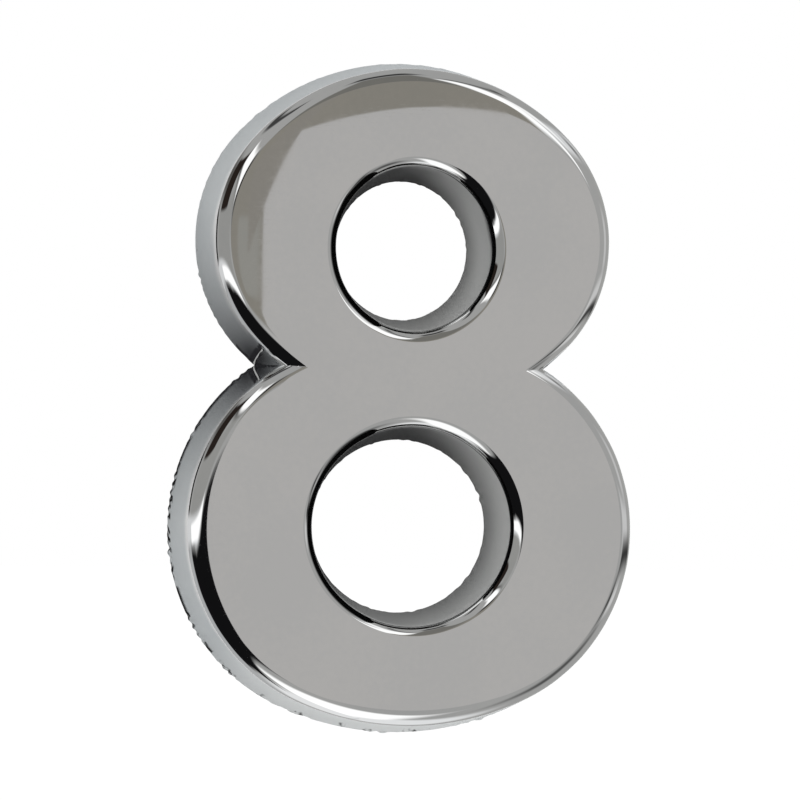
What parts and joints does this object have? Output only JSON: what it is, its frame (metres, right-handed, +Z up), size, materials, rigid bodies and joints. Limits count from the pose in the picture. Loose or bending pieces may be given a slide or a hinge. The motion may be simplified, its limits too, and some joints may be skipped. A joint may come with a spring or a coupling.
{
  "type": "house number",
  "caption": "Polished chrome house number, the digit eight, with rounded front edges, drafted sides and a hollow ribbed back, fixed by its back.",
  "frame": {"origin": "on the back plane, at the middle of the waist between the two counters, where the waist land meets the wall", "axes": "+Z up and +X right as the number is read, the face looks along -Y and the back plane lies at Y 0, facing +Y"},
  "size_m": [0.0526, 0.0078, 0.075],
  "materials": {
    "chrome_plating": "bright polished plating on the front, sides and counters, plainer in the hollow back"
  },
  "bodies": {
    "root": {"number_eight": "chrome_plating"}
  },
  "joints": []
}
